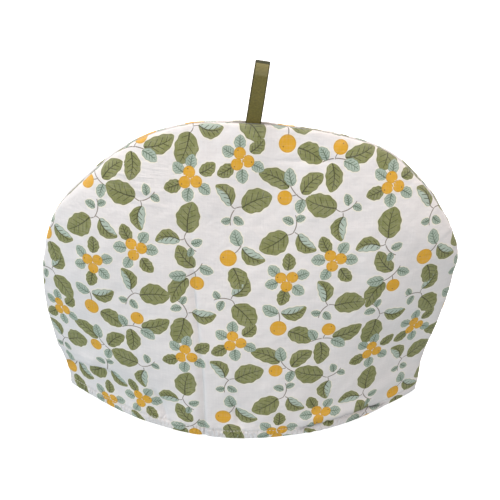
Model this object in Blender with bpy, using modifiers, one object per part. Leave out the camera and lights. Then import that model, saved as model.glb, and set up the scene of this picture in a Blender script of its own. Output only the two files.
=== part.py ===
"""Quilted tea cosy: two half-moon walls of wadded cotton and a ribbon loop.

The cosy stands on its hem, opened to a pointed oval. Both walls have the same
arched outline, and they meet along it on the plane y = 0. The front wall faces
-Y. The origin is on the table, in the middle of the cosy's outline. Sizes in
the tables are in millimetres, and the model is in metres.
"""

import math

import bmesh
import bpy
import numpy as np
from mathutils import Matrix, Vector

MM = 0.001

# The arched seam as the cosy stands, from the left end of the hem over the top
# to its right end. It isn't even: the right side swells more, and the top dips
# a little to the right of the loop.
SEAM_ARCH = (
    # x, z
    (-152.0, 0.0),
    (-153.5, 35.0),
    (-160.0, 69.0),
    (-160.5, 104.0),
    (-154.5, 138.0),
    (-141.0, 173.0),
    (-115.0, 200.5),
    (-80.0, 228.0),
    (-41.0, 242.5),
    (-4.0, 244.5),
    (32.0, 242.0),
    (68.0, 236.0),
    (102.0, 223.5),
    (130.0, 198.0),
    (149.0, 172.0),
    (160.5, 147.0),
    (161.0, 122.0),
    (157.0, 86.0),
    (148.0, 40.0),
    (144.0, 0.0),
)

# The walls
HEM_SPREAD = 61.0  # from the seam's plane out to the middle of each hem
BELLY = 0.55  # 0 is a straight tent from hem to seam; more is rounder
WALL = 5.5  # cloth and wadding, measured front to back
HEM_WALL = 3.0  # where the hem is stitched flat
EDGE_INSET = 3.0  # depth of the two walls' edge faces on the seam's plane
SEAM_GAP = 0.3  # between the two walls' edge faces
SEAM_SWELL = 0.05  # how soon the wadding fills out from the seam, of HEM_SPREAD
HEM_SWELL = 0.03  # how soon it fills out from the hem, of the wall's height
SEAM_CALM = 0.2  # how far from the seam the folds die out, of HEM_SPREAD
LEFT_SHOULDER = 0.285  # where the arch turns from side to top, of its length
RIGHT_SHOULDER = 0.715
CELLS_ACROSS = 48
CELLS_UP = 36
CROWD_ACROSS = 0.05  # columns and rows stand closer together near the edges
CROWD_UP = 0.08

# Folds of the front wall. Each runs along a line, with the cloth drawn in on
# the line and swelling out over it. Distances are along and across that line.
FRONT_FOLDS = (
    # x0, z0, x1, z1, half_width, drawn_in, swell_over, fade
    (-152.0, 24.0, -107.0, 36.0, 6.5, 7.0, 3.5, 16.0),
    (56.0, 6.0, 92.0, 12.0, 4.5, 3.2, 2.5, 16.0),
    (92.0, 12.0, 128.0, 19.0, 5.5, 5.0, 3.0, 16.0),
)
BACK_FOLDS = (
    (70.0, 10.0, 130.0, 20.0, 7.0, 3.0, 2.0, 20.0),
)

# Soft dents and swells, round in the wall's plane.
FRONT_DENTS = (
    # x, z, radius, drawn_in
    (-66.0, 20.0, 14.0, 2.6),
    (-3.0, 22.0, 10.0, 1.4),
    (-100.0, 150.0, 46.0, -2.0),
    (96.0, 140.0, 50.0, -2.4),
    (18.0, 196.0, 34.0, 1.6),
    (-22.0, 84.0, 40.0, -1.4),
    (138.0, 70.0, 30.0, 2.2),
)
BACK_DENTS = (
    (80.0, 150.0, 48.0, -2.2),
    (-90.0, 120.0, 50.0, -1.8),
    (-20.0, 190.0, 36.0, 1.8),
    (10.0, 60.0, 40.0, 1.6),
)

# The ribbon loop, sewn into the seam at its top
LOOP_X = 6.4  # middle of the ribbon where it leaves the seam
LOOP_WIDTH = 10.6
LOOP_CROWN_WIDTH = 9.8  # the ribbon curls, which narrows it towards the top
LOOP_THICK = 1.0
LOOP_TALL = 42.0  # above the seam
LOOP_TAIL = 7.0  # below the seam, between the walls
LOOP_LEAN = math.radians(8.3)  # to the right
LOOP_HALF_DEPTH = 3.6  # middle of the ribbon to the loop's middle, at its widest
LOOP_SHUT = 3.0  # height over which its two legs lie together
LOOP_SPREAD = 16.0  # height over which they then spread
LEG_GAP = 0.3  # between the ribbon's two legs in the seam
LOOP_CELLS_ROUND = 64
LOOP_CELLS_ACROSS = 4
LOOP_CLEARANCE = 0.35  # between the ribbon and the walls
PARTING_PLATEAU = 9.5  # the walls part around the ribbon over this half width
PARTING_RAMP = 9.0
PARTING_DEPTH = 22.0

PRINTED_COTTON = (0.86, 0.85, 0.83)
PLAIN_COTTON = (0.80, 0.79, 0.76)
OLIVE_RIBBON = (0.16, 0.17, 0.05)


def arch_curve(inset=0.0, steps=40):
    """A smooth curve through the arch's points, moved inwards by inset."""
    points = np.array(SEAM_ARCH)
    ends = (2 * points[:1] - points[1:2], 2 * points[-1:] - points[-2:-1])
    p = np.vstack((ends[0], points, ends[1]))
    t = np.linspace(0.0, 1.0, steps, endpoint=False)[:, None]
    spans = []
    for a, b, c, d in zip(p[:-3], p[1:-2], p[2:-1], p[3:]):
        cubic = 2 * b + (c - a) * t
        cubic += (2 * a - 5 * b + 4 * c - d) * t**2
        cubic += (3 * b - a - 3 * c + d) * t**3
        spans.append(cubic / 2)
    curve = np.vstack((*spans, points[-1:]))
    along = np.gradient(curve, axis=0)
    along /= np.linalg.norm(along, axis=1)[:, None]
    inwards = np.stack((along[:, 1], -along[:, 0]), axis=-1)
    return curve + inset * inwards


def on_arch(share, inset=0.0):
    """The arch's point at each share of its length, 0 at its left end."""
    curve = arch_curve(inset)
    steps = np.linalg.norm(np.diff(curve, axis=0), axis=1)
    length = np.concatenate(([0.0], np.cumsum(steps)))
    length /= length[-1]
    columns = [np.interp(share, length, axis) for axis in curve.T]
    return np.stack(columns, axis=-1)


def outline_point(u, v, inset):
    """(x, z) of a wall's cell corners, blended from its four edges.

    u runs along the hem and v up the wall. The left, top and right edges are
    stretches of the arch, and the bottom edge is the hem.
    """
    left = on_arch(LEFT_SHOULDER * v, inset)
    right = on_arch(1 - (1 - RIGHT_SHOULDER) * v, inset)
    top = on_arch(LEFT_SHOULDER + (RIGHT_SHOULDER - LEFT_SHOULDER) * u, inset)
    foot = np.array((SEAM_ARCH[0], SEAM_ARCH[-1])) + ((inset, 0), (-inset, 0))
    peak = on_arch(np.array((LEFT_SHOULDER, RIGHT_SHOULDER)), inset)
    u = u[:, None]
    v = v[:, None]
    left += (1 - v) * (foot[0] - on_arch(0.0, inset))
    right += (1 - v) * (foot[1] - on_arch(1.0, inset))
    hem = (1 - u) * foot[0] + u * foot[1]
    across = (1 - u) * left + u * right
    up = (1 - v) * hem + v * top
    corners = (1 - v) * hem + v * ((1 - u) * peak[0] + u * peak[1])
    return across + up - corners


def stand_off(u, v):
    """How far the wall stands off the seam's plane: 0 at the seam, 1 at the hem.

    It is a parabola along the hem and a rounded tent up the middle. The two
    are joined so that the wall leaves the arch at an even angle all round.
    """
    along = 4 * u * (1 - u)
    up = (1 - v) * (1 + BELLY * v)
    return along * up / np.maximum(along + up - along * up, 1e-9)


def half_wall(u, v):
    """Half the wall's depth, thinner at the hem and closed at the seam."""
    from_seam = 1 - np.exp(-stand_off(u, v) / SEAM_SWELL)
    from_hem = 1 - (1 - HEM_WALL / WALL) * np.exp(-v / HEM_SWELL)
    return WALL / 2 * from_seam * from_hem


def fold_swell(x, z, folds, dents):
    """How far the folds and dents push the wall out at (x, z)."""
    swell = np.zeros_like(x)
    for x0, z0, x1, z1, half_width, drawn_in, swell_over, fade in folds:
        length = math.hypot(x1 - x0, z1 - z0)
        run = ((x - x0) * (x1 - x0) + (z - z0) * (z1 - z0)) / length
        side = ((z - z0) * (x1 - x0) - (x - x0) * (z1 - z0)) / length
        past_end = np.maximum(np.maximum(-run, run - length), 0) / fade
        valley = -drawn_in * np.exp(-((side / half_width) ** 2))
        over = side / half_width - 2.2
        valley += swell_over * np.exp(-((over / 1.4) ** 2))
        swell += valley * np.exp(-(past_end**2))
    for centre_x, centre_z, radius, drawn_in in dents:
        away = ((x - centre_x) ** 2 + (z - centre_z) ** 2) / radius**2
        swell -= drawn_in * np.exp(-away)
    return swell


def parting(x, v):
    """Half the gap between the walls' edges, wider around the ribbon."""
    legs = LEG_GAP / 2 + LOOP_THICK + LOOP_CLEARANCE
    height = max(z for _, z in SEAM_ARCH)
    aside = (np.abs(x - LOOP_X) - PARTING_PLATEAU) / PARTING_RAMP
    aside = np.clip(aside, 0, 1)
    ramp = 0.5 + 0.5 * np.cos(math.pi * aside)
    ramp *= np.exp(-(((1 - v) * height / PARTING_DEPTH) ** 2))
    return SEAM_GAP / 2 + (legs - SEAM_GAP / 2) * ramp


def wall_points(u, v, skin, side, folds, dents):
    """The wall's corners: skin is 1 outside and 0 inside, side -1 or 1 in y."""
    outside = outline_point(u, v, 0.0)
    inside = outline_point(u, v, EDGE_INSET)
    place = np.where(skin[:, None] > 0.5, outside, inside)
    x, z = place.T
    free = stand_off(u, v)
    out = parting(x, v) + HEM_SPREAD * free
    out += np.where(skin > 0.5, 1, -1) * half_wall(u, v)
    out += fold_swell(x, z, folds, dents) * (1 - np.exp(-((free / SEAM_CALM) ** 2)))
    return np.stack((x, side * out, z), axis=-1) * MM


def crowded(t, share):
    """Even steps moved towards both ends."""
    return t - share * np.sin(2 * math.pi * t)


def principled(name, colour, roughness):
    material = bpy.data.materials.new(name)
    material.use_nodes = True
    shader = material.node_tree.nodes["Principled BSDF"]
    shader.inputs["Base Color"].default_value = (*colour, 1.0)
    shader.inputs["Roughness"].default_value = roughness
    shader.inputs["Metallic"].default_value = 0.0
    return material


def add_object(name, bm, collection, material):
    mesh = bpy.data.meshes.new(name)
    bm.to_mesh(mesh)
    bm.free()
    mesh.materials.append(material)
    part = bpy.data.objects.new(name, mesh)
    collection.objects.link(part)
    return part


def make_wall(name, side, folds, dents, collection, material):
    """One wall, a thin slab of cells that is bent to the cosy's shape.

    The slab starts flat and one unit square, with its upper face as the
    wall's outside, and each corner is then moved to its place.
    """
    bm = bmesh.new()
    bmesh.ops.create_grid(
        bm, x_segments=CELLS_ACROSS, y_segments=CELLS_UP, size=0.5
    )
    bmesh.ops.solidify(bm, geom=bm.faces[:], thickness=1.0)
    flat = np.array([corner.co[:] for corner in bm.verts])
    low, high = flat.min(axis=0), flat.max(axis=0)
    u, v, skin = ((flat - low) / (high - low)).T
    u = crowded(u, CROWD_ACROSS)
    v = crowded(v, CROWD_UP)
    bent = wall_points(u, v, skin, side, folds, dents)
    for corner, place in zip(bm.verts, bent):
        corner.co = place
    if bm.calc_volume(signed=True) < 0:
        bmesh.ops.reverse_faces(bm, faces=bm.faces[:])
    wall = add_object(name, bm, collection, material)
    wall.data.shade_smooth()
    wall.data.set_sharp_from_angle(angle=math.radians(50))
    return wall


def loop_section(share):
    """(y, z) of the ribbon's middle line, from one tail round to the other."""
    top = max(z for _, z in SEAM_ARCH)
    leg = (LEG_GAP + LOOP_THICK) / 2
    foot = top - LOOP_TAIL
    crown = top + LOOP_TALL - LOOP_HALF_DEPTH
    straight = crown - foot
    arc = math.pi * LOOP_HALF_DEPTH
    run = share * (2 * straight + arc)
    turn = np.clip((run - straight) / LOOP_HALF_DEPTH, 0, math.pi)
    height = np.minimum(run, 2 * straight + arc - run)
    height = foot + np.clip(height, 0, straight)
    opening = np.clip((height - top - LOOP_SHUT) / LOOP_SPREAD, 0, 1)
    opening = opening**2 * (3 - 2 * opening)
    spread = leg + (LOOP_HALF_DEPTH - leg) * opening
    y = -spread * np.cos(turn)
    z = height + LOOP_HALF_DEPTH * np.sin(turn)
    return y, z


def make_loop(name, collection, material):
    """The hanging loop: a flat strip bent over in a teardrop, then thickened."""
    bm = bmesh.new()
    bmesh.ops.create_grid(
        bm, x_segments=LOOP_CELLS_ACROSS, y_segments=LOOP_CELLS_ROUND, size=0.5
    )
    top = max(z for _, z in SEAM_ARCH)
    lean = Matrix.Rotation(LOOP_LEAN, 3, "Y")
    foot = Vector((LOOP_X, 0.0, top))
    for corner in bm.verts:
        y, z = loop_section(corner.co.y + 0.5)
        share = max(z - top, 0.0) / LOOP_TALL
        width = LOOP_WIDTH + (LOOP_CROWN_WIDTH - LOOP_WIDTH) * share
        upright = Vector((corner.co.x * width, y, z - top))
        corner.co = (foot + lean @ upright) * MM
    bmesh.ops.recalc_face_normals(bm, faces=bm.faces[:])
    loop = add_object(name, bm, collection, material)
    thicken = loop.modifiers.new("ribbon", "SOLIDIFY")
    thicken.thickness = LOOP_THICK * MM
    thicken.offset = 0.0
    thicken.use_even_offset = True
    loop.data.shade_smooth()
    loop.data.set_sharp_from_angle(angle=math.radians(50))
    return loop


def main():
    for old in list(bpy.data.objects):
        bpy.data.objects.remove(old)
    cosy = bpy.data.collections.new("tea_cosy")
    bpy.context.scene.collection.children.link(cosy)
    printed = principled("printed_cotton", PRINTED_COTTON, 0.9)
    plain = principled("back_cotton", PLAIN_COTTON, 0.9)
    ribbon = principled("olive_ribbon", OLIVE_RIBBON, 0.6)
    make_wall("front_panel", -1, FRONT_FOLDS, FRONT_DENTS, cosy, printed)
    make_wall("back_panel", 1, BACK_FOLDS, BACK_DENTS, cosy, plain)
    make_loop("hanging_loop", cosy, ribbon)


main()
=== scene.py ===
import math

import bpy
import numpy as np
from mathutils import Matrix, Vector


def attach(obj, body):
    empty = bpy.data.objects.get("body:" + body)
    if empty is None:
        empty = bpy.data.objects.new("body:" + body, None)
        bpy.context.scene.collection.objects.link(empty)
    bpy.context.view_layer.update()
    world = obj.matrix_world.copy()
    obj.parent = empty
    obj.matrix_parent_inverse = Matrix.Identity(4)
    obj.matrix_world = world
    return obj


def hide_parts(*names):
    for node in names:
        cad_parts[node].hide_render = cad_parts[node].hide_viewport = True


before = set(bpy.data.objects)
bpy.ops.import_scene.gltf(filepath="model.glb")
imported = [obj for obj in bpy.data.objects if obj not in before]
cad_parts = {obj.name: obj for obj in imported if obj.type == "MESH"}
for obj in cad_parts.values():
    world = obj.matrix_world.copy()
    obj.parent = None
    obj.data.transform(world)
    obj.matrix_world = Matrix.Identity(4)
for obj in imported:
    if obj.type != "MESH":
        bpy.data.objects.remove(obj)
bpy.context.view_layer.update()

# A tea cosy that stands open on its hem: two half-moon walls of wadded cotton with a printed
# outside, a ribbon loop in the seam and topstitching along the hem. The front wall faces -Y.
# Sizes are in millimetres until a mesh is made.
MM = 0.001

# The arched seam, from the left end of the hem over the top to its right end.
SEAM_ARCH = (
    # x, z
    (-152.0, 0.0),
    (-153.5, 35.0),
    (-160.0, 69.0),
    (-160.5, 104.0),
    (-154.5, 138.0),
    (-141.0, 173.0),
    (-115.0, 200.5),
    (-80.0, 228.0),
    (-41.0, 242.5),
    (-4.0, 244.5),
    (32.0, 242.0),
    (68.0, 236.0),
    (102.0, 223.5),
    (130.0, 198.0),
    (149.0, 172.0),
    (160.5, 147.0),
    (161.0, 122.0),
    (157.0, 86.0),
    (148.0, 40.0),
    (144.0, 0.0),
)

SEAM_TOP = max(z for _, z in SEAM_ARCH)

# The walls' main sizes, as in the solids
HEM_SPREAD = 61.0
BELLY = 0.55
WALL = 5.5
HEM_WALL = 3.0
EDGE_INSET = 3.0
SEAM_GAP = 0.3
SEAM_SWELL = 0.05
HEM_SWELL = 0.03
SEAM_CALM = 0.2
LEFT_SHOULDER = 0.285
RIGHT_SHOULDER = 0.715

# The ribbon loop's main sizes, as in the solids
LOOP_X = 6.4
LOOP_WIDTH = 10.6
LOOP_CROWN_WIDTH = 9.8
LOOP_THICK = 1.0
LOOP_TALL = 42.8
LOOP_TAIL = 7.0
LOOP_LEAN = math.radians(8.3)
LOOP_HALF_DEPTH = 3.6
LOOP_CROWN = 7.5  # the height over which its bend turns back
LOOP_ARC = 2.1  # its bend's length, in crowns
LOOP_PINCH = 0.22  # how far the bend is pinched from a half circle
LOOP_CURL = 0.35  # how far its edges curl out
LOOP_SHUT = 3.0
LOOP_SPREAD = 16.0
LEG_GAP = 0.3
LOOP_CLEARANCE = 0.35
PARTING_PLATEAU = 9.5
PARTING_RAMP = 9.0
PARTING_DEPTH = 22.0

# Cells of the walls' fine surface
CELL = 1.7  # across
CELL_UP = 1.3
SEAM_CELLS = (0.4, 0.4, 0.5, 0.6, 0.8, 1.0, 1.3)
HEM_CELLS = (0.25, 0.3, 0.35, 0.5, *(0.7,) * 56, 1.0)  # fine rows up past the tucks
WALL_ACROSS = 330.0  # about how far the cells reach across and up
WALL_UP = 262.0

# Folds and dents that both walls' solids have
FRONT_FOLDS = (
    # x0, z0, x1, z1, half_width, drawn_in, swell_over, fade
    (-152.0, 26.0, -118.0, 38.0, 4.6, 3.2, 2.4, 6.0),
    (52.0, 7.5, 92.0, 9.5, 3.4, 1.8, 1.8, 7.0),
    (98.0, 9.0, 116.0, 5.0, 3.4, 1.6, 1.6, 6.0),
    (98.0, 10.0, 128.0, 18.0, 6.0, 1.6, 1.2, 10.0),
)
BACK_FOLDS = (
    (70.0, 10.0, 130.0, 20.0, 7.0, 3.0, 2.0, 20.0),
)
FRONT_DENTS = (
    # x, z, radius, drawn_in
    (-66.0, 20.0, 14.0, 2.6),
    (-3.0, 22.0, 10.0, 1.4),
    (-100.0, 150.0, 46.0, -2.0),
    (96.0, 140.0, 50.0, -2.4),
    (18.0, 196.0, 34.0, 1.6),
    (-22.0, 84.0, 40.0, -1.4),
    (138.0, 70.0, 30.0, 2.2),
)
BACK_DENTS = (
    (80.0, 150.0, 48.0, -2.2),
    (-90.0, 120.0, 50.0, -1.8),
    (-20.0, 190.0, 36.0, 1.8),
    (10.0, 60.0, 40.0, 1.6),
)

# The swell over a fold: its middle and its width, in the fold's half widths
FOLD_OVER = (2.2, 1.4)

# The sharp line pressed in with an iron: it falls away slowly on its left and fast on its
# right, and it is fainter towards its top
PRESS_DEPTH = 1.3
PRESS_SIDES = (8.0, 2.6)
PRESS_FAINT = 0.35
PRESS_FIRM = (175.0, 130.0)  # heights between which it gets firm
FRONT_PRESSED = (
    # x, z
    (-29.9, 23.0),
    (-30.4, 61.0),
    (-33.5, 103.0),
    (-35.9, 141.0),
    (-37.1, 177.0),
    (-35.9, 211.0),
)
BACK_PRESSED = (
    (30.0, 0.0),
    (33.0, 120.0),
    (31.0, 240.0),
)

# Where a wall leans out to its hem: middle, reach each way, depth under the fold, its height
FRONT_LEAN = (-120.0, 33.0, 3.0, 33.0)
BACK_LEAN = (60.0, 40.0, 1.6, 30.0)
LEAN_FADE = 0.4  # it fades above the fold, as a share of that height

# Fine creases: lines pressed in with an iron, and small wrinkles where the cloth is pulled
FRONT_CREASES = (
    # x0, z0, x1, z1, half_width, height, fade
    (97.0, 182.0, 98.5, 157.0, 1.2, -0.52, 8.0),
    (26.0, 220.0, 56.0, 220.0, 1.2, -0.45, 8.0),
    (-92.0, 208.0, -70.0, 207.0, 1.0, 0.42, 6.0),
    (-92.0, 203.5, -72.0, 202.0, 0.9, 0.36, 6.0),
    (-84.0, 197.5, -62.0, 198.5, 1.0, 0.40, 6.0),
    (-80.0, 192.0, -60.0, 189.0, 1.1, 0.36, 7.0),
    (51.0, 2.0, 53.0, 16.0, 1.6, -0.55, 5.0),
    (58.0, 1.0, 59.5, 9.0, 1.3, -0.55, 4.0),
    (66.0, 3.0, 67.5, 11.0, 1.2, -0.50, 4.0),
    (72.5, 4.0, 73.5, 12.0, 1.2, -0.45, 4.0),
    (81.0, 5.0, 82.0, 13.0, 1.3, -0.50, 4.0),
    (-3.0, 18.0, -6.0, 32.0, 2.2, -2.0, 7.0),
    (-63.0, 14.0, -68.0, 30.0, 2.6, -2.6, 7.0),
)
BACK_CREASES = (
    (30.0, 232.0, 33.0, 120.0, 1.4, -0.40, 14.0),
    (-96.0, 176.0, -62.0, 177.0, 1.3, -0.34, 9.0),
    (-70.0, 8.0, -66.0, 26.0, 2.2, -0.6, 7.0),
)

# Tucks: along a line the cloth above slides down over the cloth below
FRONT_TUCKS = (
    # x, z, slide and painted shade at points along each
    (
        (-149.0, 29.5, 2.6, 0.25),
        (-137.0, 37.0, 3.4, 0.40),
        (-126.0, 41.0, 3.4, 0.40),
        (-116.0, 42.8, 2.6, 0.35),
        (-107.0, 42.4, 1.0, 0.20),
    ),
    (
        (48.0, 8.6, 2.2, 0.40),
        (60.0, 9.9, 2.8, 0.70),
        (74.0, 11.6, 3.2, 1.00),
        (84.0, 13.4, 3.6, 1.15),
        (95.0, 12.6, 3.6, 1.15),
        (104.0, 9.2, 3.0, 1.00),
        (112.0, 6.5, 1.6, 0.60),
    ),
)
BACK_TUCKS = (((70.0, 10.0, 1.6, 0.3), (98.0, 14.0, 2.4, 0.5), (122.0, 19.0, 1.2, 0.3)),)
TUCK_FADE = 4.0
TUCK_BELLS = (
    # a lip and a valley: middle over the line, width, shares of the slide outwards and up
    (2.0, 1.7, 0.30, -1.0),
    (-0.7, 1.1, -0.60, 0.25),
)
TUCK_PAINTED_SHADES = (
    # painted shade under the lip and on it: middle over the line, width, share
    (-2.9, 1.0, 1.0),
    (1.9, 1.2, 0.4),
)

# Where the hem flares: middle, reach each way, how far out, height
FRONT_FLARE = (78.0, 33.0, 1.9, 6.0)
BACK_FLARE = (-30.0, 30.0, 0.8, 6.0)

# The seam and the hem
SEAM_RUN = 820.0  # the seam's ripples are spaced as if it were this long
SEAM_STEPS = 900  # points on the arch that distances are measured to
SEAM_BATCHES = 40
SEAM_HELD = 3.0  # no crease reaches the seam: they fade over this distance to it
SPREAD = 1.1  # the padded seam stands this much wider than the wall's plain outline
SPREAD_REACH = 60.0
BULGES = (
    # which side, height, reach up and down, how far out
    (-1, 42.0, 15.0, 3.0),
    (1, 8.0, 22.0, 2.3),
)
GROOVE = 2.0  # the stitched seam lies this deep between the two walls
GROOVE_WIDTH = 1.5
GROOVE_FOOT = 6.0  # it starts over this height from the hem
GROOVE_AT_LOOP = (0.3, 15.0)  # it is shallower by this share, this near to the ribbon
PUFF = 1.0  # the wadding swells this far beside the seam
PUFF_AT = 3.4  # and most at this distance from it
PUFF_WAVES = (0.3, 26.0)  # how uneven the swell is, and how long its waves are
SLOWER_ACROSS = 0.3  # waves along an edge change this much slower across it
PUCKER = 0.30  # height, length and reach of the puckers that run to the seam
PUCKER_LONG = 9.0
PUCKER_REACH = 9.0
SOFT = ((0.40, 52.0), (0.15, 15.0))  # heights and lengths of the cloth's soft unevenness
SOFT_FROM_SEAM = 12.0  # and the distances over which it starts
SOFT_FROM_HEM = 14.0
HEM_ROUND = 1.2
HEM_FREE = 0.02  # the hem is rounded where the wall stands off more than this
HEM_WAVES = 0.34  # height of the small waves beside the topstitching
HEM_WAVES_LONG = 7.0
HEM_WAVES_REACH = 8.0
HEM_WAVES_FOOT = 2.0
HEM_LOWEST = 0.4  # no point goes lower than this share of its plain height
STITCH_LINE = 8.2  # height of the hem's topstitching
STITCH_DIP = 0.5
STITCH_DIP_WIDTH = 1.3
STITCH_RINGS = 7
STITCH_SIDES = 6
STITCH_PITCH = 2.6
STITCH_LONG = 1.8
STITCH_RISE = 0.34
STITCH_SUNK = 0.12
STITCH_END = 5.0  # the row stops this far from the seam
THREAD = 0.22  # the thread's half width
SMOOTH_UP_TO = math.radians(60.0)

# Places on a piece's own map: its margin, and how a wall's inside lies below its outside
MAP_EDGE = 0.01
MAP_OUTSIDE = 0.30
MAP_INSIDE = 0.36  # the inside's height as a share of the outside's
MAP_HALF = 0.5  # the ribbon's two faces lie side by side
MAP_RIBBON = 0.48  # and the first one ends here

# The cloth and the ribbon seen close
WEAVE = 0.45  # from thread to thread
GATHERS = 3.4  # from gather to gather along the hem
GATHERS_AT = 5.5  # their middle height, and how far they reach up and down from it
GATHERS_REACH = 6.5
CRUSHED_UP_TO = 13.0  # the hem's crushed folds reach up to here
PULLED_AT = (-76.0, 213.0)  # the pull at one shoulder
PULLED_REACH = (27.0, 15.0)
RIBS = 0.85  # from rib to rib across the ribbon

# The printed design. One repeat of the cloth holds sixteen motifs in four columns, and every
# other column is dropped by half a row. Sizes are on the flat cloth.
REPEAT = (142.0, 136.0)
LEAF_STALK = 0.57  # a leaf is blunt at its stalk
LEAF_TIP = 0.67  # and pointed at its tip
PRINT_REACH = 2.2  # an edge and its halo are drawn this far outside a piece
UNPRINTED = (-9.0, 0.0, 10.5)
# on the inside: no painted shade under a lip
UNFOLDED = (0.0, 99.0, 0.0)  # no shade, and far from the pressed line

MOTIFS = {
    # what it is, x and y of its stalk, turn, length, half width, bend
    "sprig": (
        ("stem", -10.5, -8.5, 44, 13.0, 0.34, 1.6),
        ("stem", -1.5, 0.5, -20, 5.0, 0.30, 0.4),
        ("stem", -2.0, 0.0, 112, 4.0, 0.30, 0.3),
        ("olive", 2.3, -1.4, -6, 22.8, 8.4, 1.4),
        ("turned", -3.6, 3.6, 98, 17.8, 5.5, -2.8),
        ("sage", -8.5, -5.2, 164, 7.0, 2.6, 0.5),
        ("sage", -5.5, -4.6, -66, 8.5, 2.9, -0.6),
    ),
    "branch": (
        ("stem", -13.5, -6.0, 24, 16.0, 0.34, 1.6),
        ("stem", -6.0, -1.5, 82, 5.0, 0.30, 0.4),
        ("olive", 0.5, 1.8, 42, 23.5, 6.3, -2.4),
        ("sage", 0.5, -0.8, -12, 12.5, 4.2, 0.8),
        ("olive", -7.0, -4.6, -72, 20.0, 6.1, 1.8),
        ("sage", -11.0, -4.0, 140, 10.5, 3.6, -0.6),
        ("fruit", -5.0, 7.4, 70, 5.2, 5.2, 0.0),
    ),
    "bunch": (
        ("olive", -5.0, 4.5, 128, 13.0, 4.7, 0.6),
        ("olive", 5.6, -6.0, -40, 13.0, 4.7, -0.8),
        ("sage", 2.5, 5.0, 66, 9.5, 4.0, 0.5),
        ("sage", 6.5, 1.0, 8, 10.0, 4.1, 0.4),
        ("sage", -6.5, -2.0, 190, 10.0, 4.2, -0.4),
        ("sage", -2.5, -8.0, 252, 9.5, 3.9, 0.5),
        ("fruit", -3.7, 2.1, 140, 4.25, 4.25, 0.0),
        ("fruit", 4.0, 1.2, 40, 4.25, 4.25, 0.0),
        ("fruit", -0.6, -5.4, 265, 4.25, 4.25, 0.0),
    ),
    "fruit_pair": (
        ("stem", -3.0, 10.5, 274, 8.0, 0.34, 0.6),
        ("sage", -3.5, 9.5, 150, 12.5, 4.4, 0.9),
        ("turned", -1.0, 9.5, 14, 18.8, 5.6, -2.8),
        ("olive", 4.5, -5.5, -30, 19.5, 7.1, 1.4),
        ("fruit", -3.0, -2.6, 215, 6.1, 6.1, 0.0),
    ),
}

LAYOUT = (
    # column, row, shift across, shift up, turn, motif
    (0, 0, -1.0, -2.0, 12, "sprig"),
    (0, 1, -1.0, 0.0, -10, "bunch"),
    (0, 2, 0.0, 1.5, 170, "sprig"),
    (0, 3, 1.5, 2.5, -18, "branch"),
    (1, 0, 1.0, 0.0, 200, "branch"),
    (1, 1, -1.0, -4.0, 88, "sprig"),
    (1, 2, 0.5, 3.0, 75, "bunch"),
    (1, 3, 1.0, 2.0, -100, "sprig"),
    (2, 0, -1.0, -1.0, -42, "sprig"),
    (2, 1, -1.5, -1.5, -42, "fruit_pair"),
    (2, 2, 0.0, 1.5, 30, "sprig"),
    (2, 3, 0.5, 1.0, 85, "bunch"),
    (3, 0, 0.5, 0.0, 130, "bunch"),
    (3, 1, 2.5, 1.5, -140, "sprig"),
    (3, 2, 1.5, 0.5, 115, "branch"),
    (3, 3, 0.0, -1.5, 2, "fruit_pair"),
)
PRINT_LAYERS = {
    "stems": ("stem",),
    "olive_leaves": ("olive", "turned"),
    "sage_leaves": ("sage",),
    "fruits": ("fruit",),
}


# ---------------------------------------------------------------- curves and lines


def bell(values, middle, width):
    """exp(-d*d): 1 at the middle, where d is the distance to it as a share of the width."""
    return np.exp(-(((values - middle) / width) ** 2))


def plateau(values, middle, width):
    """exp(-d**4): flatter at the middle than a bell, with steeper sides."""
    return np.exp(-(((values - middle) / width) ** 4))


def ramp(values, start, end):
    """0 at the start and 1 at the end, in a straight line, and held there on both sides."""
    return np.clip((values - start) / (end - start), 0, 1)


def risen(values, length):
    """1 - exp(-d): 0 at nothing and near 1 some lengths away, with d in lengths."""
    return 1 - np.exp(-values / length)


def past(values, start, end):
    """How far each value lies outside a stretch, and 0 inside it."""
    return np.maximum(np.maximum(start - values, values - end), 0)


def unit(vectors):
    """Vectors scaled to a length of 1."""
    return vectors / np.maximum(np.linalg.norm(vectors, axis=-1, keepdims=True), 1e-9)


def run_along(points):
    """How far along a line of points each of them lies."""
    steps = np.linalg.norm(np.diff(points, axis=0), axis=1)
    return np.concatenate(([0.0], np.cumsum(steps)))


def read_at(places, run, values):
    """The values that belong to a run, read at other places along it."""
    return np.stack([np.interp(places, run, column) for column in values.T], axis=-1)


# ---------------------------------------------------------------- the walls' shape


def arch_curve(inset=0.0, steps=40):
    """A Catmull-Rom curve through the arch's points, moved inwards by inset."""
    points = np.array(SEAM_ARCH)
    ends = (2 * points[:1] - points[1:2], 2 * points[-1:] - points[-2:-1])
    p = np.vstack((ends[0], points, ends[1]))
    t = np.linspace(0.0, 1.0, steps, endpoint=False)[:, None]
    spans = []
    for a, b, c, d in zip(p[:-3], p[1:-2], p[2:-1], p[3:]):
        cubic = 2 * b + (c - a) * t
        cubic += (2 * a - 5 * b + 4 * c - d) * t**2
        cubic += (3 * b - a - 3 * c + d) * t**3
        spans.append(cubic / 2)
    curve = np.vstack((*spans, points[-1:]))
    along = unit(np.gradient(curve, axis=0))
    inwards = np.stack((along[:, 1], -along[:, 0]), axis=-1)
    return curve + inset * inwards


def on_arch(share, inset=0.0):
    """The arch's point at each share of its length, 0 at its left end."""
    curve = arch_curve(inset)
    run = run_along(curve)
    return read_at(share, run / run[-1], curve)


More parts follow.
